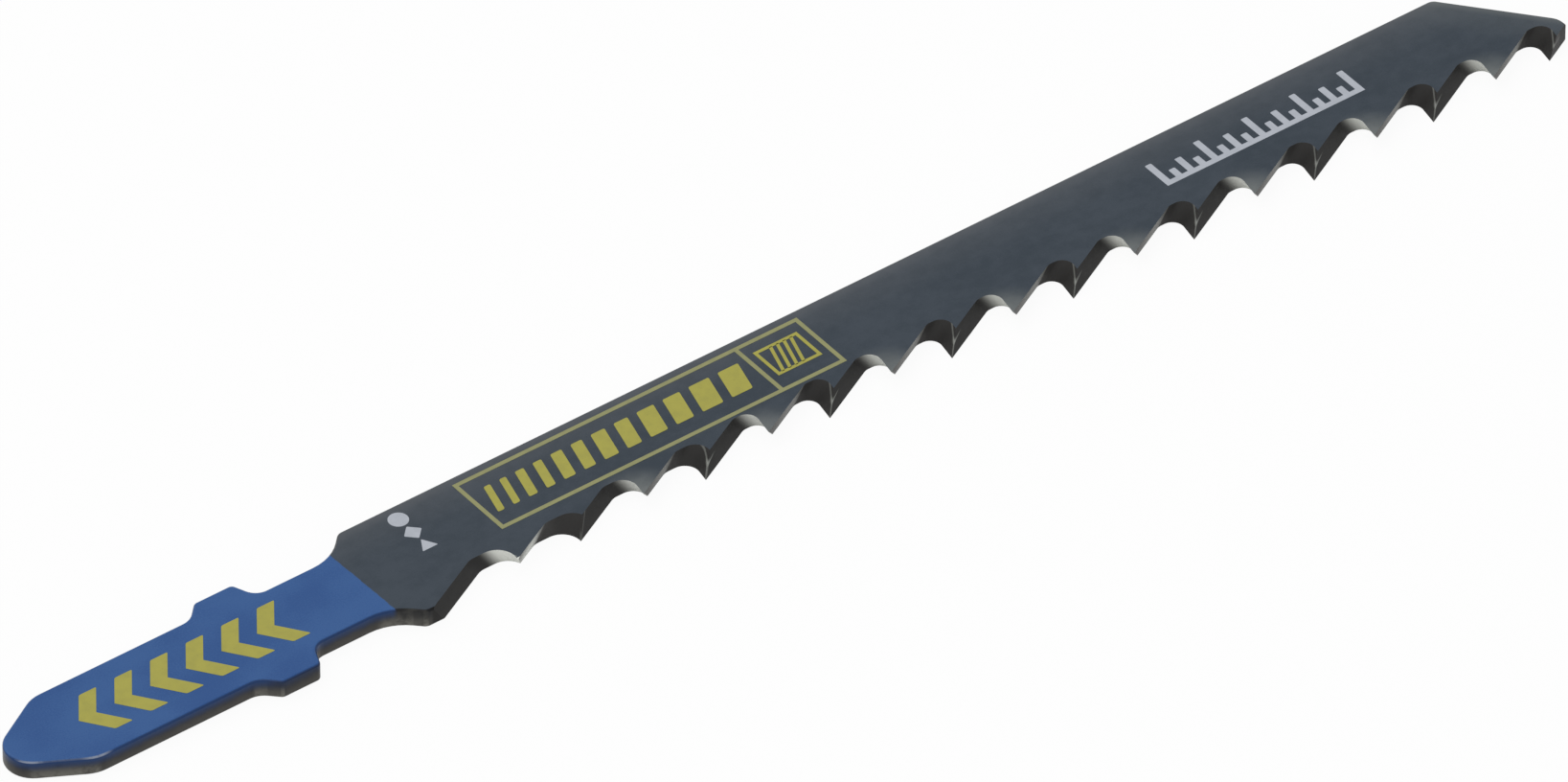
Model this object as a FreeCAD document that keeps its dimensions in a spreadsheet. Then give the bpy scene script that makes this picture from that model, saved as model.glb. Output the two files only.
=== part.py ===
"""T-shank jigsaw blade: one strip of hardened steel with a bullet-ended tang, T lugs and ground teeth.

The frame is the shank's: X runs from the lugs towards the nose, Y from the teeth to the back edge,
and Z from the lower to the upper flat face. X = 0 is the lugs' seat, where the clamp of the saw
stops the blade, Y = 0 is the shank's centre line and Z = 0 is the lower face. Millimetres.
"""
import FreeCAD, Part
import math
import os

import Sketcher
from FreeCAD import Vector

# Driving sizes: name, value and what it sets. Angles are in degrees, counts are plain.
SIZES = (
    ("thickness", 1.10, "strip thickness"),
    ("body_width", 7.77, "strip width, back edge to heel"),
    ("shank_reach", 16.90, "lug seat to the end of the tang"),
    ("tang_width", 5.89, "tang across its parallel edges"),
    ("tang_taper", 30, "bullet end, angle of each flank to the centre line"),
    ("tang_end_radius", 1.585, "full round at the tang's end"),
    ("tang_corner_radius", 2.0, "rounding where the bullet end meets the tang's edges"),
    ("lug_width", 7.77, "across the two T lugs"),
    ("lug_length", 2.38, "flat top of each lug, along the blade"),
    ("lug_lead_angle", 45, "lug flank on the tang's side, to the centre line"),
    ("lug_seat_lean", 22.5, "lug flank on the neck's side, from square"),
    ("lug_corner_share", 0.37, "rounding of the lugs' outer corners, as a share of their step from the tang"),
    ("lug_lead_share", 1.28, "hollow between the tang and a lug, as a share of the same step"),
    ("lug_seat_share", 0.65, "hollow between a lug and the neck, as a share of their step"),
    ("neck_width", 4.98, "neck across its parallel edges"),
    ("shoulder_place", 6.75, "lug seat to where the shoulders reach the full width"),
    ("shoulder_angle", 45, "shoulder flank to the centre line"),
    ("shoulder_hollow_share", 2.16, "hollow between the neck and a shoulder, as a share of their step"),
    ("shoulder_corner_share", 0.36, "rounding of the shoulders' outer corners, as a share of the same step"),
    ("tooth_relief", 0.60, "heel's edge to the tooth line, which the sharpest tips just reach"),
    ("tooth_count", 18, "number of teeth"),
    ("tooth_pitch", 3.983, "tip to tip along the blade"),
    ("first_tip", 13.276, "lug seat to the first tip, counted back at the full pitch"),
    ("rake_angle", 10.4, "hook of the cutting face, from square to the blade"),
    ("flank_angle", 27.05, "long back of a tooth, to the tooth line"),
    ("bevel_angle", 32, "slant of the grinding across the thickness, from square"),
    ("gullet_depth", 2.095, "tooth line to the gullet's floor"),
    ("gullet_radius", 0.675, "rounding of the gullet"),
    ("gullet_floor", 0.236, "short level floor of the gullet"),
    ("second_depth", 1.815, "gullet depth before teeth 3 and 4"),
    ("second_radius", 0.84, "gullet rounding before teeth 3 and 4"),
    ("second_floor", 0.45, "gullet floor before teeth 3 and 4"),
    ("entry_depth", 1.328, "gullet depth before teeth 1 and 2"),
    ("entry_radius", 1.12, "gullet rounding before teeth 1 and 2"),
    ("entry_floor", 0.665, "gullet floor before teeth 1 and 2"),
    ("tip_back_1", 0.37, "tooth 1, tip short of the full pitch"),
    ("tip_back_2", 0.196, "tooth 2, tip short of the full pitch"),
    ("tip_back_3", 0.135, "tooth 3, tip short of the full pitch"),
    ("tip_back_4", 0.115, "tooth 4, tip short of the full pitch"),
    ("nose_beyond", 1.863, "last tip to the nose's end"),
    ("nose_angle", 49.9, "slant of the nose to the back edge"),
    ("nose_drop", 1.375, "centre line down to the foot of the slant"),
    ("nose_land", 0.57, "square end of the nose below the slant"),
    ("nose_radius", 1.0, "rounding between the slant and the square end"),
    ("nose_back_radius", 0.6, "rounding between the back edge and the slant"),
    ("upper_edge_radius", 0.16, "rolled edge round the upper face"),
    ("lower_edge_radius", 0.08, "broken edge round the lower face"),
    ("grinding_room", 0.5, "how far the grinding outline stands clear of the strip"),
)

# Places along the blade, as formulas of the driving sizes.
TANG_EDGE = "sizes.tang_width / 2"
LUG_EDGE = "sizes.lug_width / 2"
NECK_EDGE = "sizes.neck_width / 2"
BODY_EDGE = "sizes.body_width / 2"
LUG_STEP = "(sizes.lug_width - sizes.tang_width) / 2"
SEAT_STEP = "(sizes.lug_width - sizes.neck_width) / 2"
SHOULDER_STEP = "(sizes.body_width - sizes.neck_width) / 2"
TANG_POINT = "(-sizes.shank_reach - sizes.tang_end_radius * (1 / sin(sizes.tang_taper * 1 deg) - 1))"
LUG_START = "(-sizes.lug_length)"
LUG_FOOT = f"({LUG_START} - {LUG_STEP} / tan(sizes.lug_lead_angle * 1 deg))"
SEAT_FOOT = f"{SEAT_STEP} * tan(sizes.lug_seat_lean * 1 deg)"
SHOULDER_FOOT = f"(sizes.shoulder_place - {SHOULDER_STEP} / tan(sizes.shoulder_angle * 1 deg))"
TOOTH_LINE = f"({BODY_EDGE} - sizes.tooth_relief)"
GRINDING_LINE = f"({BODY_EDGE} + sizes.grinding_room)"
NOSE_END = "(sizes.first_tip + (sizes.tooth_count - 1) * sizes.tooth_pitch + sizes.nose_beyond)"
NOSE_BACK = f"({NOSE_END} - ({BODY_EDGE} + sizes.nose_drop) / tan(sizes.nose_angle * 1 deg))"
NOSE_FOOT = "(sizes.nose_drop + sizes.nose_land)"
NOSE_FLANK_START = f"({NOSE_END} - ({TOOTH_LINE} - {NOSE_FOOT}) / tan(sizes.flank_angle * 1 deg))"
HEEL_STEP = "(sizes.first_tip - sizes.tip_back_1 - sizes.entry_radius - sizes.entry_floor)"

# Outlines, corner by corner. The shank's is one half, and the centre line is its mirror line.
SHANK_HALF = {
    "tang_point": (TANG_POINT, "0"),
    "tang_corner": (f"{TANG_POINT} + {TANG_EDGE} / tan(sizes.tang_taper * 1 deg)", TANG_EDGE),
    "lug_lead": (LUG_FOOT, TANG_EDGE),
    "lug_outer": (LUG_START, LUG_EDGE),
    "lug_seat": ("0", LUG_EDGE),
    "neck_start": (SEAT_FOOT, NECK_EDGE),
    "neck_end": (SHOULDER_FOOT, NECK_EDGE),
    "shoulder": ("sizes.shoulder_place", BODY_EDGE),
    "strip_middle": ("sizes.shoulder_place", "0"),
}
STRIP = {
    "shoulder": ("sizes.shoulder_place", BODY_EDGE),
    "heel": ("sizes.shoulder_place", f"-({BODY_EDGE})"),
    "heel_step": (HEEL_STEP, f"-({BODY_EDGE})"),
    "tooth_line_start": (HEEL_STEP, f"-{TOOTH_LINE}"),
    "tooth_line_end": (NOSE_FLANK_START, f"-{TOOTH_LINE}"),
    "nose_foot": (NOSE_END, f"-{NOSE_FOOT}"),
    "nose_end": (NOSE_END, "-sizes.nose_drop"),
    "nose_back": (NOSE_BACK, BODY_EDGE),
}
NEAR = 1e-4

doc = FreeCAD.newDocument("jigsaw_blade")
sizes = doc.addObject("Spreadsheet::Sheet", "sizes")
for row, (alias, value, meaning) in enumerate(SIZES, start=1):
    sizes.set(f"A{row}", alias)
    sizes.set(f"B{row}", str(value))
    sizes.set(f"C{row}", meaning)
    sizes.setAlias(f"B{row}", alias)
doc.recompute()

body = doc.addObject("PartDesign::Body", "blade")
body.Label = "blade"
doc.recompute()


def number(formula):
    """The value of a formula of the driving sizes, in millimetres or plain."""
    result = sizes.evalExpression(formula)
    return float(getattr(result, "Value", result))


def origin_feature(role):
    """One of the body's own base planes or axes."""
    return next(item for item in body.Origin.OriginFeatures if item.Role == role)


def flat_sketch(name, height="0"):
    """A sketch parallel to the strip's faces, at a height above the lower face."""
    sketch = body.newObject("Sketcher::SketchObject", name)
    sketch.AttachmentSupport = [(origin_feature("XY_Plane"), "")]
    sketch.MapMode = "FlatFace"
    if height != "0":
        sketch.setExpression("AttachmentOffset.Base.z", height)
    return sketch


def drive(sketch, constraint, formula=None, name=None):
    """Adds a constraint, bound to a formula of the driving sizes where it has one."""
    index = sketch.addConstraint(constraint)
    if formula is not None:
        sketch.renameConstraint(index, name)
        sketch.setExpression(f"Constraints.{name}", formula)
    return index


def outline_sketch(name, corners):
    """A closed outline of straight edges, each corner placed from the shank's datum."""
    sketch = flat_sketch(name)
    points = [Vector(number(x), number(y), 0) for x, y in corners.values()]
    for start, end in zip(points, points[1:] + points[:1]):
        sketch.addGeometry(Part.LineSegment(start, end), False)
    edges = range(len(points))
    for edge in edges:
        sketch.addConstraint(Sketcher.Constraint("Coincident", edge, 2, (edge + 1) % len(points), 1))
    for edge, (corner, (x, y)) in zip(edges, corners.items()):
        place = points[edge]
        drive(sketch, Sketcher.Constraint("DistanceX", edge, 1, place.x), x, f"{corner}_x")
        if y == "0":
            sketch.addConstraint(Sketcher.Constraint("PointOnObject", edge, 1, -1))
        else:
            drive(sketch, Sketcher.Constraint("DistanceY", edge, 1, place.y), y, f"{corner}_y")
    return sketch


def pad(name, sketch):
    """The strip's full thickness of an outline."""
    feature = body.newObject("PartDesign::Pad", name)
    feature.Profile = sketch
    feature.setExpression("Length", "sizes.thickness")
    doc.recompute()
    return feature


def upright_edges(corners, names, both_sides):
    """Names of the edges that stand square to the faces at the given corners."""
    places = [(number(corners[name][0]), number(corners[name][1])) for name in names]
    if both_sides:
        places += [(x, -y) for x, y in places]
    found = []
    for index, edge in enumerate(body.Tip.Shape.Edges, start=1):
        ends = [vertex.Point for vertex in edge.Vertexes]
        if len(ends) != 2 or abs(ends[0].z - ends[1].z) < NEAR:
            continue
        if any(all(abs(end.x - x) < NEAR and abs(end.y - y) < NEAR for end in ends) for x, y in places):
            found.append(f"Edge{index}")
    if len(found) != len(places):
        raise RuntimeError(f"{names}: {len(found)} edges for {len(places)} corners")
    return found


def round_edges(name, edges, radius):
    """A rounding of one radius along the named edges of the body as it stands."""
    feature = body.newObject("PartDesign::Fillet", name)
    feature.Base = (feature.BaseFeature, edges)
    feature.setExpression("Radius", radius)
    doc.recompute()


def rim_edges(height):
    """The outline's edges on one face, without those that the grinding takes away."""
    tooth_line = -number(TOOTH_LINE)
    step = number(HEEL_STEP)
    flank = number(NOSE_FLANK_START)
    nose_foot = -number(NOSE_FOOT)
    found = []
    for index, edge in enumerate(body.Tip.Shape.Edges, start=1):
        middle = edge.valueAt((edge.FirstParameter + edge.LastParameter) / 2)
        if any(abs(vertex.Z - height) > NEAR for vertex in edge.Vertexes) or abs(middle.z - height) > NEAR:
            continue
        on_tooth_side = middle.x > step - NEAR and middle.y < tooth_line + NEAR
        on_nose_flank = middle.x > flank and middle.y < nose_foot
        if not on_tooth_side and not on_nose_flank:
            found.append(f"Edge{index}")
    return found


def gullet_sketch(name, tip, depth, radius, floor, height):
    """The outline that one pass of the grinding takes out, with its cutting face through a tip."""
    sketch = flat_sketch(name, height)
    rake, flank = number("sizes.rake_angle"), number("sizes.flank_angle")
    below, bottom = -number(GRINDING_LINE), number(f"{depth} - {TOOTH_LINE}")
    foot = f"{tip} - ({GRINDING_LINE} - {TOOTH_LINE}) * tan(sizes.rake_angle * 1 deg)"
    up_rake = Vector(number("sin(sizes.rake_angle * 1 deg)"), number("cos(sizes.rake_angle * 1 deg)"), 0)
    up_flank = Vector(number("cos(sizes.flank_angle * 1 deg)"), number("sin(sizes.flank_angle * 1 deg)"), 0)
    bend, level = number(radius), number(floor)

    start = Vector(number(foot), below, 0)
    rise = (bottom - bend - below - bend * up_rake.x) / up_rake.y
    rake_end = start + up_rake * rise
    front_centre = rake_end + Vector(-up_rake.y, up_rake.x, 0) * bend
    back_centre = front_centre - Vector(level, 0, 0)
    flank_end = back_centre + Vector(-up_flank.y, up_flank.x, 0) * bend
    flank_start = flank_end - up_flank * ((flank_end.y - below) / up_flank.y)
    upright = math.radians(90)
    rake, flank = math.radians(rake), math.radians(flank)

    upwards = Vector(0, 0, 1)
    front_circle = Part.Circle(front_centre, upwards, bend)
    back_circle = Part.Circle(back_centre, upwards, bend)
    crown = Vector(0, bend, 0)
    sketch.addGeometry([
        Part.LineSegment(start, rake_end),
        Part.ArcOfCircle(front_circle, -rake, upright),
        Part.LineSegment(front_centre + crown, back_centre + crown),
        Part.ArcOfCircle(back_circle, upright, upright + flank),
        Part.LineSegment(flank_start, flank_end),
        Part.LineSegment(flank_start, start),
    ], False)
    rake_line, front_arc, floor_line, back_arc, flank_line, closing_line = range(6)
    for joint in ((rake_line, 2, front_arc, 1), (front_arc, 2, floor_line, 1),
                  (floor_line, 2, back_arc, 1), (back_arc, 2, flank_line, 2)):
        sketch.addConstraint(Sketcher.Constraint("Tangent", *joint))
    sketch.addConstraint(Sketcher.Constraint("Coincident", flank_line, 1, closing_line, 1))
    sketch.addConstraint(Sketcher.Constraint("Coincident", closing_line, 2, rake_line, 1))
    sketch.addConstraint(Sketcher.Constraint("Horizontal", floor_line))
    sketch.addConstraint(Sketcher.Constraint("Horizontal", closing_line))
    sketch.addConstraint(Sketcher.Constraint("Equal", front_arc, back_arc))
    drive(sketch, Sketcher.Constraint("DistanceX", rake_line, 1, start.x), foot, "rake_foot")
    drive(sketch, Sketcher.Constraint("DistanceY", rake_line, 1, start.y),
          f"-{GRINDING_LINE}", "grinding_line")
    drive(sketch, Sketcher.Constraint("Angle", rake_line, upright - rake),
          "90 deg - sizes.rake_angle * 1 deg", "rake")
    drive(sketch, Sketcher.Constraint("Angle", flank_line, flank), "sizes.flank_angle * 1 deg", "flank")
    drive(sketch, Sketcher.Constraint("Radius", front_arc, bend), radius, "rounding")
    drive(sketch, Sketcher.Constraint("Distance", floor_line, level), floor, "floor_length")
    drive(sketch, Sketcher.Constraint("DistanceY", floor_line, 1, bottom),
          f"{depth} - {TOOTH_LINE}", "floor_height")
    return sketch


def grind_gullet(tooth, tip, depth, radius, floor):
    """One gullet, ground from the upper face before an odd tooth and from the lower before an even one.

    The grinding leans towards the nose as it goes through, so each tooth is full and pointed on the
    face that it was ground from, and bevelled away below it.
    """
    from_above = tooth % 2 == 1
    sketch = gullet_sketch(f"gullet_outline_{tooth}", tip, depth, radius, floor,
                           "sizes.thickness" if from_above else "0")
    before = body.Tip.Shape.Volume
    feature = body.newObject("PartDesign::Pocket", f"gullet_{tooth}")
    feature.Profile = sketch
    feature.Type = "ThroughAll"
    feature.UseCustomVector = True
    feature.Direction = Vector(0, 0, -1 if from_above else 1)
    feature.setExpression("Direction.x", "tan(sizes.bevel_angle * 1 deg)")
    doc.recompute()
    if feature.Shape.Volume > before - NEAR:
        raise RuntimeError(f"gullet {tooth} cuts nothing")
    return feature


def repeat_along(feature, occurrences):
    """The same gullet again at every second tooth, to the end of the tooth row."""
    before = body.Tip.Shape.Volume
    pattern = body.newObject("PartDesign::LinearPattern", f"{feature.Name}_row")
    pattern.Originals = [feature]
    pattern.Direction = (origin_feature("X_Axis"), [""])
    pattern.Mode = "Spacing"
    pattern.setExpression("Offset", "2 * sizes.tooth_pitch")
    pattern.setExpression("Occurrences", occurrences)
    body.Tip = pattern
    doc.recompute()
    if pattern.Shape.Volume > before - NEAR:
        raise RuntimeError(f"{pattern.Name} cuts nothing")


def tip_place(tooth):
    """Where a tooth's tip lies along the blade: the first four stand a little short of the pitch."""
    place = f"sizes.first_tip + {tooth - 1} * sizes.tooth_pitch"
    return f"({place} - sizes.tip_back_{tooth})" if tooth <= 4 else f"({place})"


# The shank: half its outline at full thickness, mirrored across the centre line.
shank_half = pad("shank_half", outline_sketch("shank_outline", SHANK_HALF))
shank = body.newObject("PartDesign::Mirrored", "shank")
shank.Originals = [shank_half]
shank.MirrorPlane = (origin_feature("XZ_Plane"), [""])
body.Tip = shank
doc.recompute()

# The strip, from the shoulders to the slanted nose, with its tooth side cut down to the tooth line.
pad("strip", outline_sketch("strip_outline", STRIP))

# Corners and hollows of the blanked outline, each group with its own radius.
round_edges("tang_end", upright_edges(SHANK_HALF, ["tang_point"], False), "sizes.tang_end_radius")
round_edges("tang_corners", upright_edges(SHANK_HALF, ["tang_corner"], True), "sizes.tang_corner_radius")
round_edges("lug_lead_hollows", upright_edges(SHANK_HALF, ["lug_lead"], True),
            f"sizes.lug_lead_share * {LUG_STEP}")
round_edges("lug_corners", upright_edges(SHANK_HALF, ["lug_outer", "lug_seat"], True),
            f"sizes.lug_corner_share * {LUG_STEP}")
round_edges("lug_seat_hollows", upright_edges(SHANK_HALF, ["neck_start"], True),
            f"sizes.lug_seat_share * {SEAT_STEP}")
round_edges("shoulder_hollows", upright_edges(SHANK_HALF, ["neck_end"], True),
            f"sizes.shoulder_hollow_share * {SHOULDER_STEP}")
round_edges("shoulder_corners", upright_edges(SHANK_HALF, ["shoulder"], True),
            f"sizes.shoulder_corner_share * {SHOULDER_STEP}")
round_edges("nose_back", upright_edges(STRIP, ["nose_back"], False), "sizes.nose_back_radius")
round_edges("nose_tip", upright_edges(STRIP, ["nose_end"], False), "sizes.nose_radius")
round_edges("upper_rim", rim_edges(number("sizes.thickness")), "sizes.upper_edge_radius")
round_edges("lower_rim", rim_edges(0), "sizes.lower_edge_radius")

# The teeth. Two shallow pairs of gullets run in from the heel, then the full ones repeat to the nose.
for run_in_tooth, shape in ((1, "entry"), (2, "entry"), (3, "second"), (4, "second")):
    grind_gullet(run_in_tooth, tip_place(run_in_tooth), f"sizes.{shape}_depth",
                 f"sizes.{shape}_radius", f"sizes.{shape}_floor")
for full_tooth, count in ((5, "ceil(sizes.tooth_count / 2) - 2"), (6, "floor(sizes.tooth_count / 2) - 2")):
    full_gullet = grind_gullet(full_tooth, tip_place(full_tooth), "sizes.gullet_depth",
                               "sizes.gullet_radius", "sizes.gullet_floor")
    repeat_along(full_gullet, count)

doc.recompute()
for item in doc.Objects:
    if "Invalid" in item.State or "Error" in item.State:
        raise RuntimeError(f"{item.Name}: {item.State}")

shape = body.Shape
if shape.isNull() or not shape.isValid() or len(shape.Solids) != 1:
    raise RuntimeError(f"{body.Label} is not one valid solid")
os.makedirs("parts", exist_ok=True)
shape.exportStep(f"parts/{body.Label}.step")
box = shape.BoundBox
print(f"{body.Label}: {shape.Volume:.2f} mm3, {len(shape.Faces)} faces, "
      f"x {box.XMin:.2f}..{box.XMax:.2f}, y {box.YMin:.2f}..{box.YMax:.2f}, z {box.ZMin:.3f}..{box.ZMax:.3f}")
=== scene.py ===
"""Jigsaw blade: the finish of its steel, the marks printed on it and the studio it lies in."""

import math

import bpy
from bpy.props import FloatProperty, FloatVectorProperty, IntProperty, PointerProperty
from mathutils import Matrix, Vector


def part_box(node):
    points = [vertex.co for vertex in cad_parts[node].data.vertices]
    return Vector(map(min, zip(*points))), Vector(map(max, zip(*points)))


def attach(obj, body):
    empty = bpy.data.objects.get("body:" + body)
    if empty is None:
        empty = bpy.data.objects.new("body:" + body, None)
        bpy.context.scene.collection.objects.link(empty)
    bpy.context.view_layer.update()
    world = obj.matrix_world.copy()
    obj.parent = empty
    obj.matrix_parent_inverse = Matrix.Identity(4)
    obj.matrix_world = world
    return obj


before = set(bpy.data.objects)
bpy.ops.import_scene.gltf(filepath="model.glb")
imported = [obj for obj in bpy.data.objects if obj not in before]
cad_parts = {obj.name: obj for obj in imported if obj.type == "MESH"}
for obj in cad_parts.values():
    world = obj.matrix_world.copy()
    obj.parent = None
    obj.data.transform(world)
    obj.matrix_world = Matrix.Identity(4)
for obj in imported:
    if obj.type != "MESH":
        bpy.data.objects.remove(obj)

bl_info = {
    "name": "Jigsaw blade finish",
    "version": (1, 0, 0),
    "blender": (4, 5, 0),
    "location": "View3D > Sidebar > Jigsaw Blade",
    "description": "Finishes the steel of a T-shank jigsaw blade, prints its marks and sets its studio",
    "category": "Object",
}

MM = 0.001
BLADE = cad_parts["blade"]
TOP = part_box("blade")[1].z
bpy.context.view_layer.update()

# What the steel's finish follows, in millimetres.
TEETH_SIDE = -1.02  # across the blade: the walls of the gullets lie on the teeth's side of it
HEEL_END = 6.9  # along the blade: where the shoulder turns into the toothed side
FIRST_GULLET = 10.2  # along the blade: where the first gullet's rounding starts
# The first four teeth stand nearer the shank than the full pitch has them: before each place, by how much more.
NEARER_TEETH = ((27.3, 0.115), (23.2, 0.020), (19.2, 0.061), (15.2, 0.174))
# The edge at a tooth runs from its point through the thickness, and leans by so much on the way.
EDGE_SIDEWAYS, EDGE_INWARDS = 0.83, 0.775
EDGE_START = 0.02  # how far beyond the point that edge starts
EDGE_BEHIND = 2.5  # how far to the shank's side of a point its own edge still counts as the nearest
NOSE_LEAN = 0.842  # how far the nose's end runs along the blade for each millimetre across it
HIGHLIGHT_GAP = -14.9  # along the blade: the place on the shank's end between the two painted highlight spots

# The marks, in millimetres: the bars' widths, and how many corners each grade mark has and its place across.
BAR_WIDTHS = (0.42, 0.42, 0.56, 0.56, 0.72, 0.72, 0.90, 0.90, 1.10, 1.10, 1.32, 1.32)
ROUND = 24  # corners enough to look round
GRADE_MARKS = ((3, 0.31), (4, 1.56), (ROUND, 2.82))
SAME_PLACE = 0.01 * MM  # closer than this, two places are one

# The studio, in metres from the middle of the picture.
KEY_PLACE, KEY_SIZE = Vector((-0.10, 0.45, 0.80)), 0.9
FILL_PLACE, FILL_SIZE = Vector((-0.45, -0.35, 0.70)), 0.8
FLOOR_RADIUS = 6
FLOOR_DROP = 0.02 * MM
SENSOR = 36  # millimetres


def size(label, millimetres, note):
    """A length that a user may change, given in millimetres and held in metres."""
    return FloatProperty(name=label, description=note, default=millimetres * MM, precision=6,
                         subtype="DISTANCE", unit="LENGTH")


def amount(label, value, note):
    """A plain number that a user may change."""
    return FloatProperty(name=label, description=note, default=value, precision=4)


def count(label, value, note):
    """A whole number that a user may change."""
    return IntProperty(name=label, description=note, default=value, min=1)


def angle(label, degrees, note):
    """An angle that a user may change, given in degrees."""
    return FloatProperty(name=label, description=note, default=math.radians(degrees),
                         subtype="ANGLE", unit="ROTATION")


def linear(shade):
    """One channel of a screen colour, from 0 to 255, as light."""
    part = shade / 255
    return part / 12.92 if part <= 0.04045 else ((part + 0.055) / 1.055) ** 2.4


def colour(label, screen, note):
    """A colour that a user may change, given as it looks on screen, from 0 to 255."""
    return FloatVectorProperty(name=label, description=note, subtype="COLOR", size=3, min=0, max=1,
                               default=[linear(shade) for shade in screen])


class BladeSteel(bpy.types.PropertyGroup):
    """Colours and places of the blade's own finish."""

    slate: colour("Blackened face", (50, 60, 70), "Flat faces after blackening")
    slate_light: colour("Rubbed face", (61, 70, 80), "Flat faces where handling has thinned the black")
    # Painted highlight along the back edge and on its rounded rim, over a face partly worn thin there.
    back_highlight_and_wear: colour("Rubbed back", (96, 99, 103), "Face along the back, where the black is thinnest")
    wall: colour("Wall, upper part", (17, 18, 21), "Edges of the strip near the upper face, blanked and blackened")
    wall_light: colour("Wall, lower part", (66, 64, 60), "Edges of the strip near the lower face, torn and greyer")
    # Painted highlight: the hollows and turns of the shank's edge that face the front, as a lamp there would light
    # them.
    wall_painted_highlight: colour("Wall sheen", (122, 120, 113), "Hollows and turns of the shank's edge, rubbed smooth")
    ground: colour("Ground wall", (12, 11, 9), "Walls of the gullets that face up, ground smooth and blackened")
    # Painted reflection: the gullet walls that face down are lighter, as they would mirror the white floor.
    ground_floor_reflection: colour("Ground wall, turned down", (51, 50, 49),
                         "Walls of the gullets that face down, a little greyer")
    # Painted reflection of the white floor, grazing the rounded walls before the odd teeth and a strip of the even
    # gullets' flanks.
    bright: colour("Bright gullet", (236, 238, 231), "Rounded walls that the last grinding pass left bare")
    # Painted sheen on the face next to the odd points, as the light would catch them there; the same colour lightens
    # the face towards the nose.
    sheen_and_haze: colour("Haze", (122, 126, 124), "Face next to the points, where chips have rubbed it")
    # Worn edges, with painted highlights along them.
    edge: colour("Worn edge", (146, 148, 143), "Sharp edges where the black has gone")
    # Painted highlight: the rounded rim at the shank's end, where it faces the front.
    rim: colour("Worn rim", (150, 158, 174), "Edge of the shank where it is pushed into its holder")
    paint: colour("Shank paint", (41, 81, 139), "Paint on the upper face of the shank")
    paint_light: colour("Thin paint", (52, 92, 148), "Paint where it lies thin")
    # Painted shade: the paint on the rounded edge on the teeth's side, darker as the edge turns away.
    paint_rim_shade: colour("Paint at the rim", (37, 60, 102), "Paint where it runs over the edge of the shank")
    paint_wall: colour("Paint on the walls", (22, 54, 100), "Paint that ran down the shank's edges, thinner below")
    paint_end: size("Paint ends", 5.46, "Where the paint stops, from the lugs' seat")
    paint_lean: amount("Paint edge lean", 0.028, "How far the paint's edge leans towards the shank, across the blade")
    tooth_pitch: size("Tooth pitch", 3.983, "Tip to tip along the blade")
    first_tip: size("First tip", 13.276, "Lug seat to the first tip, counted back at the full pitch")
    tip_line: size("Tip line", -3.150, "Where the teeth's points lie across the blade")


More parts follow.
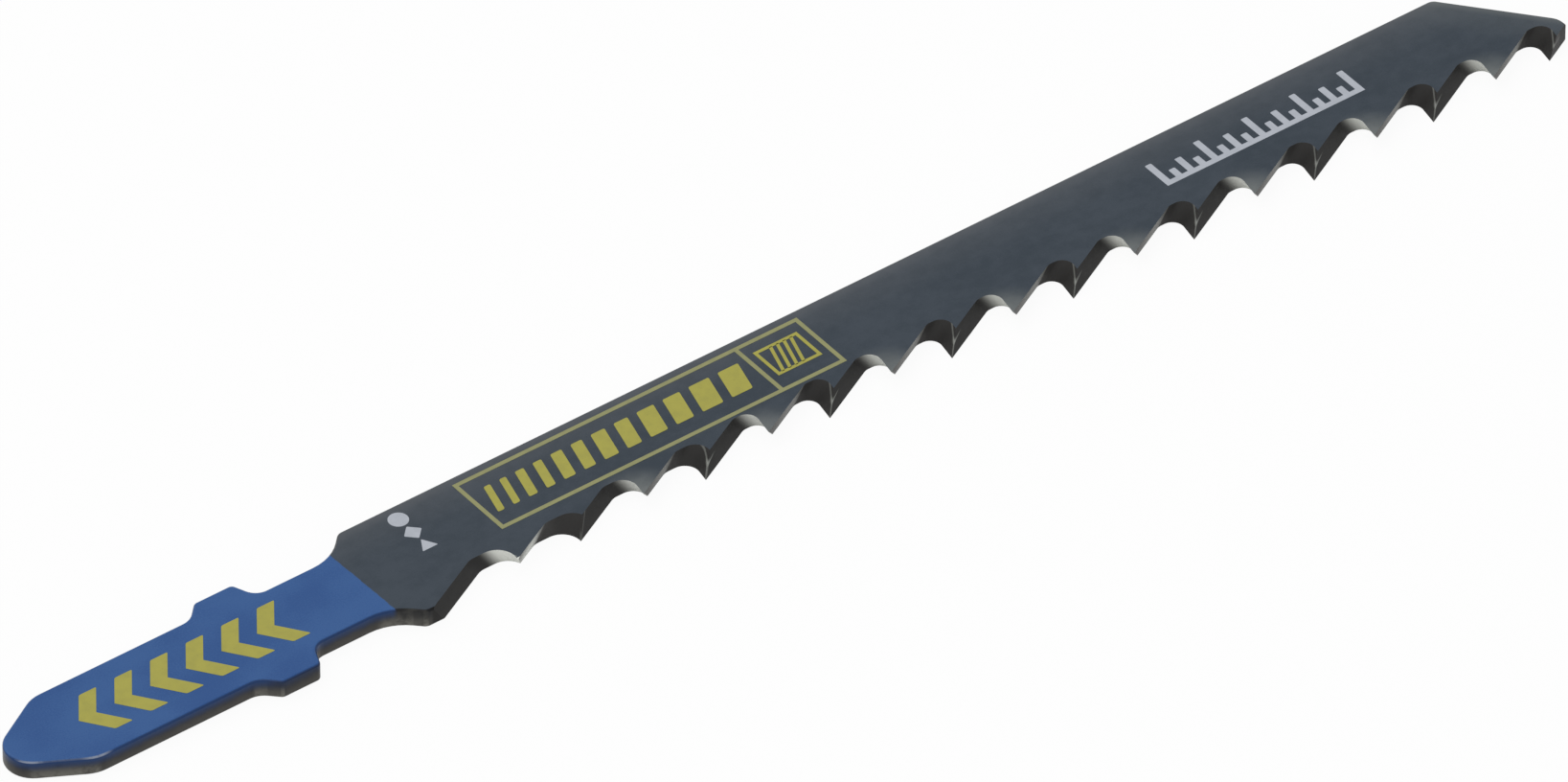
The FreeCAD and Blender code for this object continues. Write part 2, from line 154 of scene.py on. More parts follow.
class PrintedMarks(bpy.types.PropertyGroup):
    """Colours, places and sizes of the printed marks."""

    yellow: colour("Yellow ink", (170, 165, 76), "Bold marks")
    line: colour("Yellow lines", (149, 149, 104), "The panel's frame, printed thin")
    pale: colour("Pale ink", (182, 187, 196), "Small marks and the scale")
    ink_height: size("Ink height", 0.012, "How far the ink stands above the face")
    ink_depth: size("Ink depth", 0.010, "How far the ink reaches into the face")
    panel_start: size("Panel start", 13.66, "Panel's outside, at its shank end")
    panel_end: size("Panel end", 35.94, "Panel's outside, at its nose end")
    panel_low: size("Panel low", -1.02, "Panel's outside, on the teeth's side")
    panel_high: size("Panel high", 3.33, "Panel's outside, on the back's side")
    panel_divider: size("Panel divider", 31.845, "Middle of the line between the panel's two fields")
    panel_line: size("Panel line", 0.25, "Width of the panel's lines")
    corner: size("Corners", 0.10, "Rounding of the bars' and chevrons' corners")
    small_corner: size("Small corners", 0.06, "Rounding of the corners of the small marks and the ticks")
    bars_start: size("Bars start", 14.32, "Foot of the panel's first bar")
    bars_low: size("Bars low", 0.20, "Foot of the panel's bars, across the blade")
    bars_high: size("Bars high", 2.24, "Head of the panel's bars, across the blade")
    bars_slant: size("Bars slant", 0.55, "How far a bar leans towards the nose over its height")
    bars_gap: size("Bars gap", 0.58, "Between one bar and the next")
    board_before: size("Before the board", 0.55, "From the middle of the panel's divider to the board")
    board_behind: size("Behind the board", 0.70, "From the board to the panel's outside")
    board_low: size("Board low", 0.16, "Board's lower side, across the blade")
    board_high: size("Board high", 2.42, "Board's upper side, across the blade")
    board_line: size("Board line", 0.20, "Width of the board's outline and of its hatching")
    hatch_start: size("Hatch start", 0.32, "From the board's outside to the foot of its first stroke")
    hatch_step: size("Hatch step", 0.44, "From one stroke to the next")
    hatch_count: count("Hatch strokes", 4, "How many strokes hatch the board")
    hatch_slant: size("Hatch slant", 0.62, "How far a stroke leans over its height")
    hatch_inset: size("Hatch inset", 0.15, "From the board's long sides to the ends of the strokes")
    hatch_corner: size("Hatch corners", 0.04, "Rounding of the strokes' corners")
    grade_along: size("Grade marks", 9.85, "Place of the three grade marks, along the blade")
    grade_radius: size("Grade mark radius", 0.56, "From the middle of a grade mark to its corners")
    chevrons_start: size("Chevrons start", -12.50, "Point of the first chevron on the shank")
    chevrons_count: count("Chevrons", 6, "How many chevrons show which way the shank goes in")
    chevrons_step: size("Chevrons step", 2.25, "From one chevron to the next")
    chevrons_low: size("Chevrons low", -1.66, "Lower side of the chevrons, across the blade")
    chevrons_high: size("Chevrons high", 1.56, "Upper side of the chevrons, across the blade")
    chevrons_width: size("Chevrons width", 1.10, "Width of each chevron's band, along the blade")
    chevrons_reach: size("Chevrons reach", 1.15, "How far each chevron's point leads its ends")
    scale_start: size("Scale start", 57.90, "Shank end of the scale")
    scale_step: size("Scale step", 0.795, "From one tick to the next")
    scale_count: count("Scale ticks", 17, "How many ticks stand on the scale")
    scale_low: size("Scale low", 0.12, "Lower side of the scale, across the blade")
    scale_rule: size("Scale rule", 0.34, "Width of the rule that the ticks stand on")
    scale_tick: size("Scale tick", 0.40, "Width of each tick")
    scale_long: size("Long tick", 1.66, "Height of every fourth tick, above the rule")
    scale_middle: size("Middle tick", 1.18, "Height of the ticks half way between those")
    scale_short: size("Short tick", 0.66, "Height of the other ticks")


class StudioLight(bpy.types.PropertyGroup):
    """The camera, the floor and the light."""

    azimuth: angle("Azimuth", 37.0818, "Turn of the view, from looking along the blade's width")
    elevation: angle("Elevation", 40.1087, "How far the view looks down")
    roll: angle("Roll", -0.0898, "Tilt of the camera about its own axis")
    distance: size("Distance", 1240.572, "Camera to the point that it looks at")
    look_along: size("Look along", 31.8578, "Point in the middle of the picture, along the blade")
    look_across: size("Look across", -0.9934, "Point in the middle of the picture, across the blade")
    lens: amount("Lens", 550.09, "Focal length in millimetres, on a 36 mm wide sensor")
    world: amount("World", 0.62, "Even light from all round")
    key: amount("Key lamp", 0.26, "Share of the plain level that the large soft lamp behind gives")
    fill: amount("Fill lamp", 0.12, "Share of the plain level that the soft lamp in front gives")
    floor_shade: amount("Floor", 0.93, "Whiteness of the floor")
    floor_glow: amount("Floor glow", 0.93, "How much of the floor is seen as plain white, and the rest as lit")


class Shade:
    """A value or a colour in a material, so that a finish is written as a sum."""

    def __init__(self, finish, socket):
        self.finish = finish
        self.socket = socket

    def maths(self, operation, first, second=0.0):
        return self.finish.node("ShaderNodeMath", {"operation": operation}, {0: first, 1: second})

    def __add__(self, other):
        return self.maths("ADD", self, other)

    __radd__ = __add__

    def __sub__(self, other):
        return self.maths("SUBTRACT", self, other)

    def __rsub__(self, other):
        return self.maths("SUBTRACT", other, self)

    def __mul__(self, other):
        return self.maths("MULTIPLY", self, other)

    __rmul__ = __mul__

    def __truediv__(self, other):
        return self.maths("DIVIDE", self, other)

    def __pow__(self, other):
        return self.maths("POWER", self, other)

    def __abs__(self):
        return self.maths("ABSOLUTE", self)

    def __mod__(self, other):
        return self.maths("FLOORED_MODULO", self, other)

    def largest(self, other):
        """The larger of two values."""
        return self.maths("MAXIMUM", self, other)

    def rise(self, low, high):
        """0 at the first value, 1 at the second and smooth between. It falls where the first is the larger."""
        ends = {"Value": self, "From Min": min(low, high), "From Max": max(low, high),
                "To Min": float(low > high), "To Max": float(high > low)}
        return self.finish.node("ShaderNodeMapRange", {"interpolation_type": "SMOOTHSTEP"}, ends)


class Finish:
    """A material under construction."""

    def __init__(self, name):
        self.material = bpy.data.materials.new(name)
        self.material.use_nodes = True
        self.tree = self.material.node_tree
        self.tree.nodes.clear()

    def node(self, kind, settings=(), values=(), output=0):
        """Adds a node: its settings first, then the values or links of its sockets."""
        made = self.tree.nodes.new(kind)
        for name, setting in dict(settings).items():
            setattr(made, name, setting)
        for name, value in dict(values).items():
            if isinstance(value, Shade):
                self.tree.links.new(value.socket, made.inputs[name])
            else:
                made.inputs[name].default_value = value
        return Shade(self, made.outputs[output]) if len(made.outputs) else None

    def mix(self, amount, first, second):
        """The first colour where the amount is 0, and the second where it is 1."""
        colours = [value if isinstance(value, Shade) else (*value, 1) for value in (first, second)]
        values = {"Factor": amount, 6: colours[0], 7: colours[1]}
        return self.node("ShaderNodeMix", {"data_type": "RGBA"}, values, output=2)

    def parts(self, arrow):
        """The three parts of a place or an arrow."""
        split = self.node("ShaderNodeSeparateXYZ", values={0: arrow})
        return [Shade(self, output) for output in split.socket.node.outputs]

    def place(self):
        """Where a point is on the part, in millimetres."""
        point = self.node("ShaderNodeTexCoord", output="Object")
        return [part / MM for part in self.parts(point)]

    def facing(self):
        """Which way the surface faces."""
        return self.parts(self.node("ShaderNodeNewGeometry", output="Normal"))

    def grain(self, along, across, up, detail=3.0, rough=0.55):
        """Uneven values about 0.5, with so many patches to the millimetre each way."""
        point = self.node("ShaderNodeTexCoord", output="Object")
        scale = (along / MM, across / MM, up / MM)
        drawn = self.node("ShaderNodeMapping", values={"Vector": point, "Scale": scale})
        values = {"Vector": drawn, "Scale": 1.0, "Detail": detail, "Roughness": rough}
        return self.node("ShaderNodeTexNoise", values=values)

    def relief(self, height, depth, strength=1.0):
        """Small bumps from a height, their full depth given in millimetres."""
        return self.node("ShaderNodeBump", values={"Height": height, "Distance": depth * MM, "Strength": strength})

    def close(self, **sockets):
        """Closes the material with one surface. Names are those of the surface's sockets."""
        named = {name.replace("_", " "): value for name, value in sockets.items()}
        surface = self.node("ShaderNodeBsdfPrincipled", values=named)
        self.node("ShaderNodeOutputMaterial", values={"Surface": surface})
        return self.material


class SteelFinish(Finish):
    """Blackened steel, painted on the shank, with ground gullets and worn edges, and with painted highlights,
    reflections and shade.
    """

    def __init__(self, steel):
        super().__init__("blackened_steel")
        self.steel = steel
        self.along, self.across, up = self.place()
        self.along_facing, self.side_facing, self.up_facing = self.facing()
        self.height = up / (TOP / MM)

        # Unevenness: soft clouds, small blotches, fine specks, faint rolling lines and lines through the thickness.
        self.clouds = self.grain(0.22, 0.30, 0.30, detail=2.0)
        self.blotches = self.grain(1.2, 1.5, 1.5, detail=4.0, rough=0.6)
        self.specks = self.grain(11.0, 11.0, 11.0, detail=2.0)
        self.rolled = self.grain(0.30, 6.0, 2.0, detail=3.0)
        self.dragged = self.grain(6.0, 6.0, 0.8, detail=3.0)

        # Where the surface belongs: the flat faces, the walls on the teeth's side, or the lower part of any wall.
        self.flat = abs(self.up_facing).rise(0.90, 0.99)
        self.tooth_side = (1 - self.flat) * self.across.rise(TEETH_SIDE, TEETH_SIDE - 0.1) \
            * self.along.rise(HEEL_END, HEEL_END + 0.3)
        self.low = (self.height + (self.blotches - 0.5) * 0.4).rise(0.80, 0.05)

        # How far a point is from the slanting edges that run from the teeth's points through the thickness.
        # Odd teeth have their point at the upper face, and even ones at the lower.
        self.pitch, first_tip = steel.tooth_pitch / MM, steel.first_tip / MM
        nearer = sum(self.along.rise(place + 0.1, place - 0.1) * step for place, step in NEARER_TEETH)
        self.past_tip = self.along + nearer - first_tip
        self.inwards = self.across - steel.tip_line / MM
        self.odd_side, _, self.odd_away = self.from_edge(self.past_tip, 1 - self.height)
        self.even_side, self.even_in, self.even_away = self.from_edge(self.past_tip - self.pitch, self.height)

    def from_edge(self, past_tip, share):
        """How far a point is, sideways, inwards and away, from the nearest edge of every second tooth. The share
        is that of the thickness that lies between the tooth's point and the place."""
        sideways = (past_tip + EDGE_BEHIND) % (2 * self.pitch) \
            - (EDGE_SIDEWAYS * share + (EDGE_BEHIND + EDGE_START))
        inwards = self.inwards - EDGE_INWARDS * share
        return sideways, inwards, (sideways * sideways + inwards * inwards) ** 0.5

    def face(self):
        """The flat faces: a smooth slate, lighter towards the back, with a painted highlight along the back edge, a
        painted sheen by the odd points and a lighter haze towards the nose.
        """
        steel, blotches = self.steel, self.blotches
        uneven = self.clouds * 0.35 + blotches * 0.40 + self.specks * 0.20 + self.rolled * 0.05
        face = self.mix(uneven.rise(0.36, 0.64), steel.slate, steel.slate_light)
        # Lighter towards the back, with a painted highlight in a band along the back edge.
        back = self.across.rise(0.8, 3.6) * 0.26 + self.across.rise(2.9, 3.9) * 0.36
        face = self.mix(back * (0.8 + 0.4 * blotches), face, steel.back_highlight_and_wear)
        # Painted sheen on the face next to the odd points, and a lighter haze towards the nose's end.
        reach = (self.odd_side * self.odd_side + self.inwards * self.inwards) ** 0.5
        to_nose = self.along + self.across * NOSE_LEAN
        sheen_and_haze_amount = reach.rise(2.4, 0.2) * (0.40 + 0.5 * blotches) * self.along.rise(14.5, 17.5) \
            + to_nose.rise(78.0, 81.0) * 0.12 + to_nose.rise(80.8, 81.5) * 0.26
        return self.mix(sheen_and_haze_amount, face, steel.sheen_and_haze)

    def wall(self):
        """The walls of the back and the shank: blanked, darker near the upper face, with a painted highlight on the
        hollows and turns that face the front.
        """
        steel, blotches = self.steel, self.blotches
        wall = self.mix(self.low, steel.wall, steel.wall_light)
        # Painted highlight on the walls that face the front and the shank's end.
        turned = self.along_facing.rise(-0.10, -0.30) * self.along_facing.rise(-0.80, -0.60) \
            * self.side_facing.rise(0.0, -0.4)
        return self.mix(turned * blotches.rise(0.30, 0.60) * (0.15 + 0.6 * self.low), wall, steel.wall_painted_highlight)

    def ground(self):
        """The walls of the gullets: ground, with painted reflections of the white floor on the rounded part before
        each odd tooth and on a strip of the even gullets' flanks.
        """
        steel, height, blotches = self.steel, self.height, self.blotches
        # Which kind of gullet a wall is of: by place where it turns, and by the way that it leans on its sides.
        by_place = ((self.past_tip - 1.2) % (2 * self.pitch)).rise(self.pitch - 0.05, self.pitch + 0.05)
        odd = (by_place + self.along.rise(11.0, 10.6) + self.along_facing * self.up_facing * 8).rise(0.3, 0.7)
        # Painted reflection: the walls of the even gullets, which face down, take the lighter colour.
        ground = self.mix(1 - odd + self.low * odd * 0.15, steel.ground, steel.ground_floor_reflection)
        # Painted reflection on the rounded part before each odd tooth, by the way that the wall faces.
        first_turn = self.along.rise(16.0, 14.0)
        round_turn = (self.odd_side + 0.14 * (1 - height) + 0.75 * first_turn).rise(-0.95, 0.30) ** 1.6
        gullet_reflection_amount = odd * round_turn * self.along_facing.rise(0.40, 0.15) * (0.90 + 0.10 * height) \
            * self.along.rise(FIRST_GULLET, FIRST_GULLET + 0.6)
        # Painted reflection along a strip of each even gullet's flank that faces down.
        strip = (1 - odd) * self.along_facing.rise(0.20, 0.42) * self.up_facing.rise(-0.05, -0.20) \
            * (self.inwards + first_turn * 0.6).rise(0.2, 1.5)
        strip_reflection_amount = strip * (0.06 + 0.20 * blotches) * (1 + 4 * first_turn)
        return self.mix(gullet_reflection_amount + strip_reflection_amount, ground, steel.bright)

    def worn_edges_and_highlights(self):
        """Where the black has gone, with painted highlights along the edges: the odd edges whole, and the even ones
        forked, as a small facet leaves them.
        The first even edge has no fork."""
        height, even_away = self.height, self.even_away
        stem = even_away.rise(0.13, 0.02) * height.rise(0.64, 0.50) * (0.45 + height)
        # The fork's arms: painted highlights on the walls beside each even edge, one for each way that they face.
        left = self.along_facing.rise(0.0, -0.2) * abs(self.even_in - 0.9 * (height - 0.5)).rise(0.15, 0.02) \
            * height.rise(0.46, 0.54)
        right = self.along_facing.rise(0.0, 0.2) * abs(self.even_side - 2.8 * (height - 0.5)).rise(0.22, 0.03) \
            * height.rise(0.46, 0.52) * height.rise(0.74, 0.60)
        crotch = even_away.rise(0.30, 0.05) * abs(height - 0.56).rise(0.16, 0.03)
        near_even = even_away.rise(0.9, 0.7) * self.tooth_side * self.along.rise(20.0, 21.0)
        first_even = even_away.rise(0.10, 0.03) * self.along.rise(21.0, 20.0) * self.along.rise(14.0, 15.0) \
            * self.tooth_side * 0.35
        return self.odd_away.rise(0.095, 0.030) * self.along.rise(9.5, 10.5) + first_even \
            + (stem + left * 0.6 + right * 0.7 + crotch * 0.6) * near_even

    def finished(self):
        """The whole finish, from the bare faces and walls to the paint on the shank."""
        steel, flat, blotches = self.steel, self.flat, self.blotches
        base = self.mix(flat, self.mix(self.tooth_side, self.wall(), self.ground()), self.face())
        # Worn tooth edges, partly wear and partly painted highlights.
        base = self.mix(self.worn_edges_and_highlights() * 0.75, base, steel.edge)

        # The rim of the upper face along the back: worn there, with a painted highlight on the rounding that faces
        # the back.
        rim = self.up_facing.rise(0.995, 0.92) * self.up_facing.rise(0.30, 0.62) * (1 - self.tooth_side)
        back_rim_highlight_and_wear = rim * (0.35 + 0.5 * blotches) * self.side_facing.rise(-0.2, 0.4)
        base = self.mix(back_rim_highlight_and_wear, base, steel.back_highlight_and_wear)

        # Paint on the shank: smooth, with painted shade where it turns over the rounded edge on the teeth's side,
        # thin on the walls.
        ragged = self.grain(3.0, 3.0, 3.0)
        ends = self.along + self.across * steel.paint_lean + (ragged - 0.5) * 0.12 - steel.paint_end / MM
        painted = ends.rise(0.04, -0.04) * self.up_facing.rise(0.35, 0.80)
        run_down = ends.rise(0.1, -0.2) * (1 - flat) * (self.height + (blotches - 0.5) * 0.2).rise(0.35, 1.0)
        less_on_lugs = 1 - 0.55 * abs(self.across).rise(3.1, 3.7)
        base = self.mix(run_down * less_on_lugs, base, steel.paint_wall)
        paint = self.mix((self.clouds * 0.6 + self.specks * 0.4).rise(0.38, 0.62), steel.paint, steel.paint_light)
        # Painted shade on the paint where the rounded edge on the teeth's side turns down.
        rim_shade = self.up_facing.rise(0.998, 0.72) * self.side_facing.rise(0.1, -0.3)
        base = self.mix(painted, base, self.mix(rim_shade, paint, steel.paint_rim_shade))

        # Painted highlight on the rim at the shank's end: two spots on the rounding that faces the front.
        shank_end_highlight = rim * self.along.rise(-12.3, -13.1) * (0.2 + 0.8 * abs(self.along - HIGHLIGHT_GAP).rise(0.7, 1.4)) \
            * self.side_facing.rise(-0.1, -0.5) * blotches.rise(0.30, 0.55)
        base = self.mix(shank_end_highlight * 0.8, base, steel.rim)

        roughness = 0.32 + 0.14 * flat + 0.10 * blotches + 0.16 * self.tooth_side - 0.08 * painted
        relief = self.rolled * 0.25 + self.specks * 0.35 + self.dragged * 0.40 * (1 - flat)
        return self.close(Base_Color=base, Roughness=roughness, Specular_IOR_Level=0.22,
                          Normal=self.relief(relief, 0.005, 0.4))


def ink_finish(name, ink, steel):
    """Screen-printed ink: matt, a little uneven, with pinholes that show the steel."""
    finish = Finish(name)
    clouded = finish.grain(1.6, 1.6, 1.6, detail=4.0)
    holes = finish.grain(11.0, 11.0, 11.0, detail=3.0, rough=0.7)
    thin = finish.mix(clouded.rise(0.35, 0.72) * 0.10, ink, steel.slate_light)
    base = finish.mix(holes.rise(0.66, 0.74) * 0.65, thin, steel.slate)
    return finish.close(Base_Color=base, Roughness=0.48 + 0.18 * clouded, Specular_IOR_Level=0.25,
                        Normal=finish.relief(holes * 0.6 + clouded * 0.4, 0.006, 0.4))


def ink_material(ink):
    """The named ink's material, made the first time that it is asked for."""
    scene = bpy.context.scene
    found = bpy.data.materials.get(f"{ink}_ink")
    return found or ink_finish(f"{ink}_ink", getattr(scene.printed_marks, ink), scene.blade_steel)


def floor_finish(studio):
    """White card: seen as plain white by the camera and in reflections, and still takes the shadow."""
    finish = Finish("white_card")
    rays = finish.node("ShaderNodeLightPath", output="Is Camera Ray").socket.node
    direct, mirrored, through = [Shade(finish, rays.outputs[name]) for name in
                                 ("Is Camera Ray", "Is Glossy Ray", "Is Transmission Ray")]
    tint = finish.grain(0.02, 0.02, 0.02, detail=2.0)
    light, dark = (studio.floor_shade,) * 3, (studio.floor_shade * 0.985,) * 3
    lit = finish.node("ShaderNodeBsdfDiffuse", values={"Color": finish.mix(tint, light, dark)})
    glow = finish.node("ShaderNodeEmission", values={"Color": (1, 1, 1, 1), "Strength": 1.0})
    how_much = direct.largest(mirrored).largest(through) * studio.floor_glow
    surface = finish.node("ShaderNodeMixShader", values={0: how_much, 1: lit, 2: glow})
    finish.node("ShaderNodeOutputMaterial", values={"Surface": surface})
    return finish.material


def deselect():
    """Leaves nothing selected, so that an operator acts only on what comes next."""
    if bpy.context.mode != "OBJECT":
        bpy.ops.object.mode_set(mode="OBJECT")
    bpy.ops.object.select_all(action="DESELECT")


def start_patch(name, start, end, low, high):
    """A flat rectangle on the upper face, given by its sides in metres, left in edit mode with all selected."""
    deselect()
    bpy.ops.mesh.primitive_plane_add(size=1, location=(0, 0, 0))
    patch = bpy.context.object
    patch.name = patch.data.name = name
    bpy.ops.object.mode_set(mode="EDIT")
    bpy.ops.transform.resize(value=(end - start, high - low, 1))
    bpy.ops.transform.translate(value=((start + end) / 2, (low + high) / 2, TOP))
    return patch


def pick(patch, kind, test):
    """Selects, in edit mode, just the points, edges or faces of a patch whose middle passes a test."""
    bpy.ops.mesh.select_mode(type=kind)
    bpy.ops.mesh.select_all(action="DESELECT")
    bpy.ops.object.mode_set(mode="OBJECT")
    mesh = patch.data
    if kind == "FACE":
        found = [(face, face.center) for face in mesh.polygons]
    elif kind == "EDGE":
        found = [(edge, sum((mesh.vertices[end].co for end in edge.vertices), Vector()) / 2) for edge in mesh.edges]
    else:
        found = [(point, point.co) for point in mesh.vertices]
    for item, middle in found:
        item.select = test(middle)
    bpy.ops.object.mode_set(mode="EDIT")


def slanted_bar(name, start, end, low, high, slant, corner):
    """A bar that leans along the blade, with its corners rounded as ink rounds them."""
    bar = start_patch(name, start, end, low, high)
    pick(bar, "VERT", lambda place: place.y > (low + high) / 2)
    bpy.ops.transform.translate(value=(slant, 0, 0))
    bpy.ops.mesh.select_all(action="SELECT")
    bpy.ops.mesh.bevel(offset=corner, segments=3, affect="VERTICES")
    deselect()
    return bar


def copy_along(patch, distance):
    """A copy of a patch with a mesh of its own, moved along the blade."""
    copy = patch.copy()
    copy.data = patch.data.copy()
    copy.data.transform(Matrix.Translation((distance, 0, 0)))
    bpy.context.collection.objects.link(copy)
    return copy


def print_patches(name, patches, marks, ink):
    """Joins flat patches into one printed piece with the ink's thickness, riding on the blade."""
    deselect()
    for patch in patches:
        patch.select_set(True)
    bpy.context.view_layer.objects.active = patches[0]
    if len(patches) > 1:
        bpy.ops.object.join()
    piece = bpy.context.object
    piece.name = piece.data.name = name
    bpy.ops.object.mode_set(mode="EDIT")
    bpy.ops.mesh.select_all(action="SELECT")
    bpy.ops.transform.translate(value=(0, 0, marks.ink_height))
    bpy.ops.object.mode_set(mode="OBJECT")
    if any(face.normal.z < 0.99 for face in piece.data.polygons):
        raise RuntimeError(f"{name}: a patch does not face up")
    layer = piece.modifiers.new("ink", "SOLIDIFY")
    layer.thickness = marks.ink_height + marks.ink_depth
    layer.offset = -1
    bpy.ops.object.modifier_apply(modifier=layer.name)
    piece.data.materials.clear()
    piece.data.materials.append(ink_material(ink))
    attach(piece, "root")
    deselect()
    return piece


class BLADE_OT_finish_steel(bpy.types.Operator):
    """Give the blade its blackened steel, with the shank's paint, the worn tooth edges and painted highlights,
    reflections and shade
    """

    bl_idname = "blade.finish_steel"
    bl_label = "Finish Steel"

    def execute(self, context):
        steel = SteelFinish(context.scene.blade_steel).finished()
        for slot in BLADE.material_slots:
            slot.material = steel
        if not BLADE.material_slots:
            BLADE.data.materials.append(steel)
        return {"FINISHED"}


class BLADE_OT_print_chevrons(bpy.types.Operator):
    """Print the row of chevrons on the shank that shows which way it goes in"""

    bl_idname = "blade.print_chevrons"
    bl_label = "Print Shank Chevrons"

    def execute(self, context):
        marks = context.scene.printed_marks
        start = marks.chevrons_start + marks.chevrons_reach
        low, high = marks.chevrons_low, marks.chevrons_high
        middle = (low + high) / 2
        first = start_patch("chevron", start, start + marks.chevrons_width, low, high)
        bpy.ops.mesh.bisect(plane_co=(0, middle, 0), plane_no=(0, 1, 0))
        pick(first, "VERT", lambda place: abs(place.y - middle) < SAME_PLACE)
        bpy.ops.transform.translate(value=(-marks.chevrons_reach, 0, 0))
        pick(first, "VERT", lambda place: abs(place.y - middle) > SAME_PLACE)
        bpy.ops.mesh.bevel(offset=marks.corner, segments=3, affect="VERTICES")
        deselect()
        row = [first] + [copy_along(first, step * marks.chevrons_step) for step in range(1, marks.chevrons_count)]
        print_patches("shank_chevrons", row, marks, "yellow")
        return {"FINISHED"}


class BLADE_OT_print_panel(bpy.types.Operator):
    """Print the panel's frame and the line that divides its two fields"""

    bl_idname = "blade.print_panel"
    bl_label = "Print Panel Frame"

    def execute(self, context):
        marks = context.scene.printed_marks
        line = marks.panel_line
        start, end, low, high = marks.panel_start, marks.panel_end, marks.panel_low, marks.panel_high
        frame_line = start_patch("panel", start, end, low, high)
        bpy.ops.mesh.inset(thickness=line, depth=0)
        for side in (-0.5, 0.5):
            bpy.ops.mesh.select_all(action="SELECT")
            bpy.ops.mesh.bisect(plane_co=(marks.panel_divider + side * line, 0, 0), plane_no=(1, 0, 0))

        def in_a_field(middle):
            inside = low + line < middle.y < high - line and start + line < middle.x < end - line
            return inside and abs(middle.x - marks.panel_divider) > line / 2

        pick(frame_line, "FACE", in_a_field)
        bpy.ops.mesh.delete(type="FACE")
        deselect()
        print_patches("panel_frame", [frame_line], marks, "line")
        return {"FINISHED"}


class BLADE_OT_print_bars(bpy.types.Operator):
    """Print the row of bold slanted bars in the panel's long field"""

    bl_idname = "blade.print_bars"
    bl_label = "Print Panel Bars"

    def execute(self, context):
        marks = context.scene.printed_marks
        low, high, slant = marks.bars_low, marks.bars_high, marks.bars_slant
        place, bars = marks.bars_start, []
        for width in BAR_WIDTHS:
            bars.append(slanted_bar("bar", place, place + width * MM, low, high, slant, marks.corner))
            place += width * MM + marks.bars_gap
        print_patches("panel_bars", bars, marks, "yellow")
        return {"FINISHED"}


class BLADE_OT_print_board(bpy.types.Operator):
    """Print the small hatched board in the panel's short field, for the stock that the blade cuts"""

    bl_idname = "blade.print_board"
    bl_label = "Print Hatched Board"

    def execute(self, context):
        marks = context.scene.printed_marks
        start, end = marks.panel_divider + marks.board_before, marks.panel_end - marks.board_behind
        low, high, line = marks.board_low, marks.board_high, marks.board_line
        centre = Vector(((start + end) / 2, (low + high) / 2))
        outline = start_patch("board", start, end, low, high)
        bpy.ops.mesh.inset(thickness=line, depth=0)
        pick(outline, "FACE", lambda middle: (middle.xy - centre).length < SAME_PLACE)
        bpy.ops.mesh.delete(type="FACE")
        deselect()
        hatch = []
        for stroke in range(marks.hatch_count):
            foot = start + marks.hatch_start + stroke * marks.hatch_step
            hatch.append(slanted_bar("hatch", foot, foot + line, low + marks.hatch_inset, high - marks.hatch_inset,
                                     marks.hatch_slant, marks.hatch_corner))
        print_patches("panel_board", [outline] + hatch, marks, "yellow")
        return {"FINISHED"}


class BLADE_OT_print_grade(bpy.types.Operator):
    """Print the three small marks for the blade's grade, in front of the panel"""

    bl_idname = "blade.print_grade"
    bl_label = "Print Grade Marks"

    def execute(self, context):
        marks = context.scene.printed_marks
        shapes = []
        radius = marks.grade_radius
        for corners, middle in GRADE_MARKS:
            deselect()
            bpy.ops.mesh.primitive_circle_add(vertices=corners, radius=1, fill_type="NGON", location=(0, 0, 0))
            shape = bpy.context.object
            bpy.ops.object.mode_set(mode="EDIT")
            bpy.ops.transform.resize(value=(radius, radius, 1), center_override=(0, 0, 0))
            bpy.ops.transform.translate(value=(marks.grade_along, middle * MM, TOP))
            if corners < ROUND:
                bpy.ops.mesh.bevel(offset=marks.small_corner, segments=2, affect="VERTICES")
            shapes.append(shape)
        print_patches("grade_marks", shapes, marks, "pale")
        return {"FINISHED"}


class BLADE_OT_print_scale(bpy.types.Operator):
    """Print the scale: ticks of three heights that stand on a rule, towards the nose"""

    bl_idname = "blade.print_scale"
    bl_label = "Print Scale"

    def execute(self, context):
        marks = context.scene.printed_marks
        start, step, tick = marks.scale_start, marks.scale_step, marks.scale_tick
        top = marks.scale_low + marks.scale_rule
        scale = start_patch("scale", start, start + (marks.scale_count - 1) * step + tick, marks.scale_low, top)
        for cut in range(2 * marks.scale_count - 2):
            place = start + (cut // 2) * step + (tick if cut % 2 == 0 else step)
            bpy.ops.mesh.select_all(action="SELECT")
            bpy.ops.mesh.bisect(plane_co=(place, 0, 0), plane_no=(1, 0, 0))
        heights = (marks.scale_long, marks.scale_short, marks.scale_middle, marks.scale_short)
        for turn, height in enumerate(heights):

            def tick_head(middle):
                number = round((middle.x - start - tick / 2) / step)
                beside = abs(middle.x - start - tick / 2 - number * step)
                return number % 4 == turn and beside < SAME_PLACE and abs(middle.y - top) < SAME_PLACE

            pick(scale, "EDGE", tick_head)
            bpy.ops.mesh.extrude_region_move(TRANSFORM_OT_translate={"value": (0, height, 0)})
        pick(scale, "VERT", lambda place: place.y > top + marks.scale_short / 2)
        bpy.ops.mesh.bevel(offset=marks.small_corner, segments=2, affect="VERTICES")
        deselect()
        print_patches("scale_bar", [scale], marks, "pale")
        return {"FINISHED"}


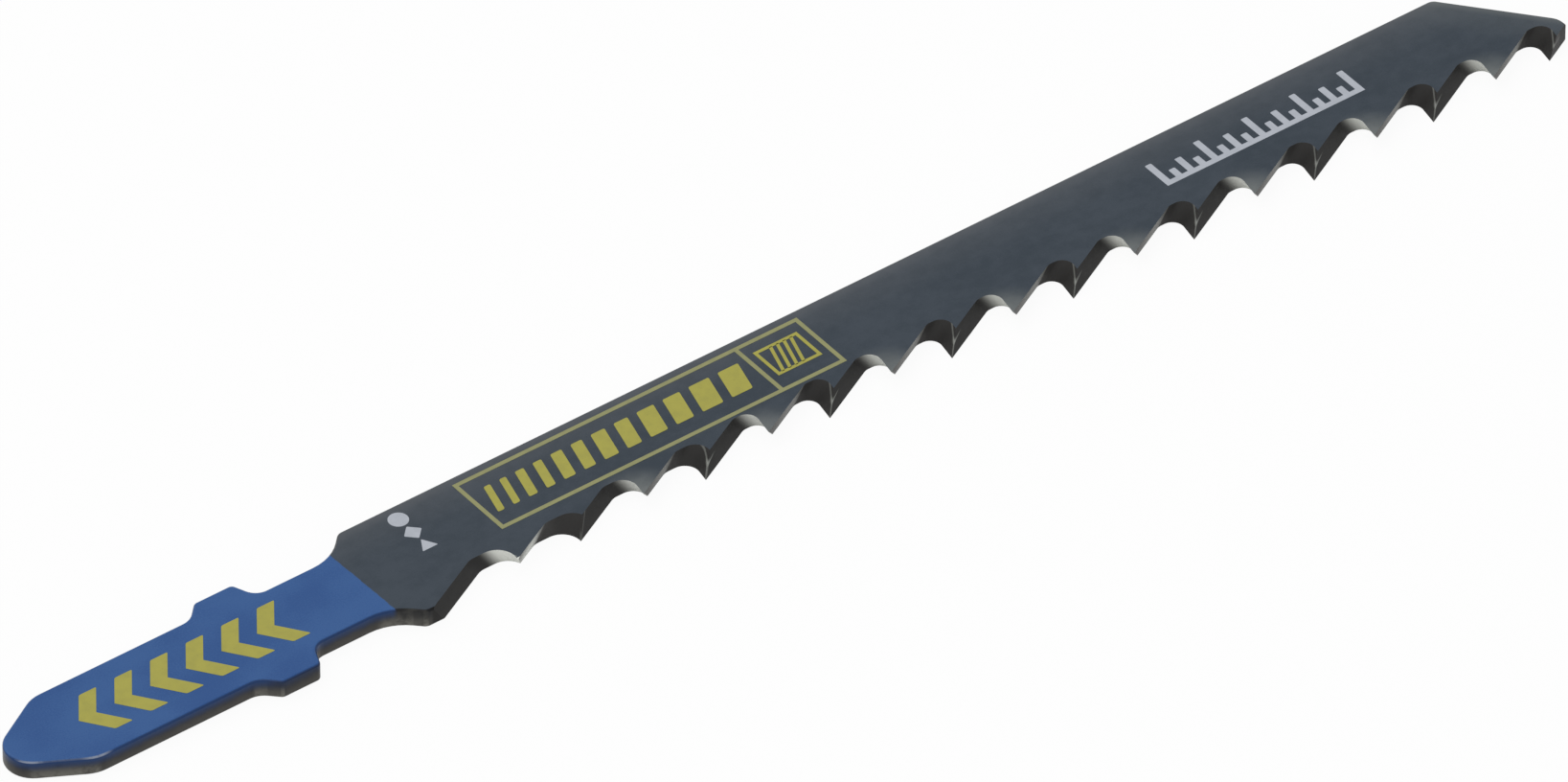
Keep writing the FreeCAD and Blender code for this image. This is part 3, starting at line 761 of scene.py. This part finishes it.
class BLADE_OT_set_studio(bpy.types.Operator):
    """Lay the white floor, hang the soft light and place the camera"""

    bl_idname = "blade.set_studio"
    bl_label = "Set Studio"

    def execute(self, context):
        scene, studio = context.scene, context.scene.studio_light
        deselect()
        bpy.ops.mesh.primitive_circle_add(vertices=64, radius=FLOOR_RADIUS, fill_type="NGON",
                                          location=(0, 0, -FLOOR_DROP))
        floor = context.object
        floor.name = floor.data.name = "floor"
        floor.data.materials.append(floor_finish(studio))

        self.light_world(scene, studio)
        centre = Vector((studio.look_along, studio.look_across, 0))
        self.hang_lamp("key_lamp", centre, KEY_PLACE, KEY_SIZE, studio.key)
        self.hang_lamp("fill_lamp", centre, FILL_PLACE, FILL_SIZE, studio.fill)
        self.place_camera(scene, studio, centre + Vector((0, 0, TOP)))
        scene.view_settings.view_transform = "Standard"
        return {"FINISHED"}

    def light_world(self, scene, studio):
        """Even light, which the camera sees as plain white."""
        world = bpy.data.worlds.new("studio")
        world.use_nodes = True
        scene.world = world
        nodes, links = world.node_tree.nodes, world.node_tree.links
        backdrop = nodes["Background"]
        backdrop.inputs["Color"].default_value = (1, 1, 1, 1)
        path, seen = nodes.new("ShaderNodeLightPath"), nodes.new("ShaderNodeMath")
        strength = nodes.new("ShaderNodeMapRange")
        seen.operation = "MAXIMUM"
        links.new(path.outputs["Is Camera Ray"], seen.inputs[0])
        links.new(path.outputs["Is Transmission Ray"], seen.inputs[1])
        links.new(seen.outputs[0], strength.inputs["Value"])
        strength.inputs["To Min"].default_value = studio.world
        strength.inputs["To Max"].default_value = 1.0
        links.new(strength.outputs[0], backdrop.inputs["Strength"])

    def hang_lamp(self, name, centre, direction, width, share):
        """A square soft lamp, its power set so that it gives a share of the plain level on the floor."""
        deselect()
        place = centre + direction
        bpy.ops.object.light_add(type="AREA", location=place)
        lamp = bpy.context.object
        lamp.name = lamp.data.name = name
        lamp.rotation_euler = direction.to_track_quat("Z", "Y").to_euler()
        lamp.data.size = width
        slope = direction.normalized().z
        lamp.data.energy = share * math.pi ** 2 * direction.length_squared / slope

    def place_camera(self, scene, studio, target):
        """The camera, looking at the target from the photograph's side."""
        turn, drop, roll = studio.azimuth, studio.elevation, studio.roll
        ahead = Vector((math.sin(turn) * math.cos(drop), math.cos(turn) * math.cos(drop), -math.sin(drop)))
        right = Vector((math.cos(turn), -math.sin(turn), 0))
        upright = right.cross(ahead)
        rolled_right = math.cos(roll) * right + math.sin(roll) * upright
        rolled_up = math.cos(roll) * upright - math.sin(roll) * right
        place = target - ahead * studio.distance
        deselect()
        bpy.ops.object.camera_add()
        camera = bpy.context.object
        camera.name = camera.data.name = "camera"
        axes = Matrix((rolled_right, rolled_up, -ahead)).transposed().to_4x4()
        camera.matrix_world = Matrix.Translation(place) @ axes
        camera.data.sensor_width = SENSOR
        camera.data.lens = studio.lens
        scene.camera = camera


class BLADE_PT_panel(bpy.types.Panel):
    """Steps that finish the blade, in order"""

    bl_idname = "BLADE_PT_panel"
    bl_label = "Jigsaw Blade"
    bl_space_type = "VIEW_3D"
    bl_region_type = "UI"
    bl_category = "Jigsaw Blade"

    def draw(self, context):
        for step in STEPS:
            self.layout.operator(step.bl_idname)


GROUPS = {"blade_steel": BladeSteel, "printed_marks": PrintedMarks, "studio_light": StudioLight}
STEPS = (BLADE_OT_finish_steel, BLADE_OT_print_chevrons, BLADE_OT_print_panel, BLADE_OT_print_bars,
         BLADE_OT_print_board, BLADE_OT_print_grade, BLADE_OT_print_scale, BLADE_OT_set_studio)


def register():
    for group in (*GROUPS.values(), *STEPS, BLADE_PT_panel):
        bpy.utils.register_class(group)
    for name, group in GROUPS.items():
        setattr(bpy.types.Scene, name, PointerProperty(type=group))


def unregister():
    for name in GROUPS:
        delattr(bpy.types.Scene, name)
    for group in (BLADE_PT_panel, *reversed(STEPS), *GROUPS.values()):
        bpy.utils.unregister_class(group)


def main():
    """Finishes the blade step by step."""
    register()
    bpy.ops.blade.finish_steel()
    bpy.ops.blade.print_chevrons()
    bpy.ops.blade.print_panel()
    bpy.ops.blade.print_bars()
    bpy.ops.blade.print_board()
    bpy.ops.blade.print_grade()
    bpy.ops.blade.print_scale()
    bpy.ops.blade.set_studio()


if __name__ == "__main__":
    main()
